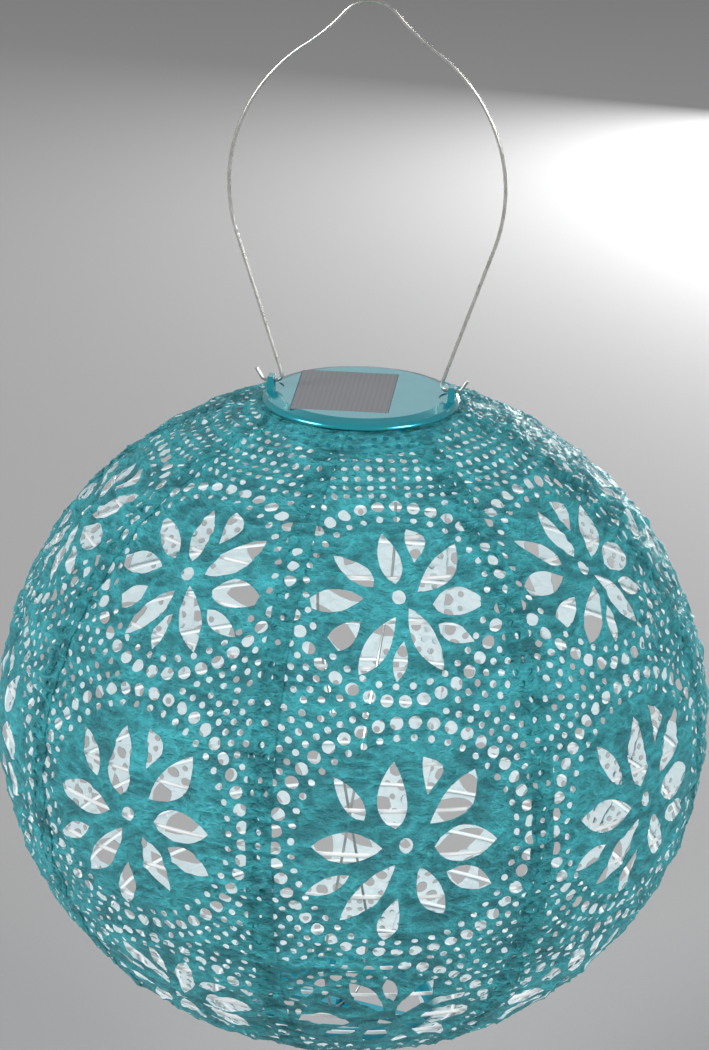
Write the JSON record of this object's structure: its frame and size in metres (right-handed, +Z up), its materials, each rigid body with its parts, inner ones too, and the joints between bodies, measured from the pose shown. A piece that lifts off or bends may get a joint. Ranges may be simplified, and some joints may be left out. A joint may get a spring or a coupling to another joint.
{
  "type": "hanging solar lantern",
  "caption": "Round hanging lantern: cut-out sheet globe on wire ribs, twist-off solar lid with lamp housing, swinging wire handle.",
  "frame": {"origin": "the hanging point: underside of the handle's crown, on the lantern's upright axis", "axes": "+Z up, +X through the two lugs of the lid, -Y towards the front; the lantern hangs down from the origin"},
  "size_m": [0.3048, 0.3048, 0.4547],
  "materials": {
    "handle_wire": "satin",
    "lid_enamel": "gloss",
    "housing_plastic": "gloss",
    "panel_film": "satin",
    "cell_board": "matte",
    "foam": "matte",
    "screw_steel": "gloss",
    "battery_sleeve": "satin",
    "contact_plate": "gloss",
    "board": "satin",
    "black_plastic": "satin",
    "switch_knob": "satin",
    "lamp_resin": "gloss",
    "lead_sleeve": "satin",
    "ring_plastic": "satin",
    "expander_steel": "satin",
    "rib_wire": "satin",
    "shell_sheet": "matte"
  },
  "bodies": {
    "handle": {"bail_handle": "handle_wire"},
    "lid_unit": {"cap_lid": "lid_enamel", "solar_cell_board": "cell_board", "panel_film": "panel_film", "panel_pad": "foam", "seal_ring": "foam", "housing_cup": "housing_plastic", "housing_screws": "screw_steel", "battery_cell": "battery_sleeve", "positive_contact": "contact_plate", "negative_contact": "contact_plate", "battery_spring": "contact_plate", "circuit_board": "board", "charge_chip": "black_plastic", "boost_coil": "black_plastic", "led_lamp": "lamp_resin", "switch_body": "black_plastic", "solar_leads": "lead_sleeve", "battery_leads": "lead_sleeve"},
    "battery_door": {"battery_door": "housing_plastic"},
    "switch_slider": {"switch_slider": "switch_knob"},
    "globe": {"neck_ring": "ring_plastic", "bottom_ring": "ring_plastic", "expander_wire": "expander_steel", "rib_wire": "rib_wire", "gore_1": "shell_sheet", "gore_2": "shell_sheet", "gore_3": "shell_sheet", "gore_4": "shell_sheet", "gore_5": "shell_sheet", "gore_6": "shell_sheet", "gore_7": "shell_sheet", "gore_8": "shell_sheet"}
  },
  "joints": [
    {"name": "handle_swing", "type": "hinge", "parent": "handle", "child": "lid_unit", "pos_m": [0, 0, -0.1654], "axis": [1, 0, 0], "range_deg": [-90, 90]},
    {"name": "lid_twist", "type": "hinge", "parent": "lid_unit", "child": "globe", "pos_m": [0, 0, -0.17275], "axis": [0, 0, 1], "range_deg": [-25, 0]},
    {"name": "battery_door_slide", "type": "slide", "parent": "lid_unit", "child": "battery_door", "axis": [1, 0, 0], "range_m": [0, 0.012]},
    {"name": "switch_slide", "type": "slide", "parent": "lid_unit", "child": "switch_slider", "axis": [1, 0, 0], "range_m": [0, 0.002]}
  ]
}
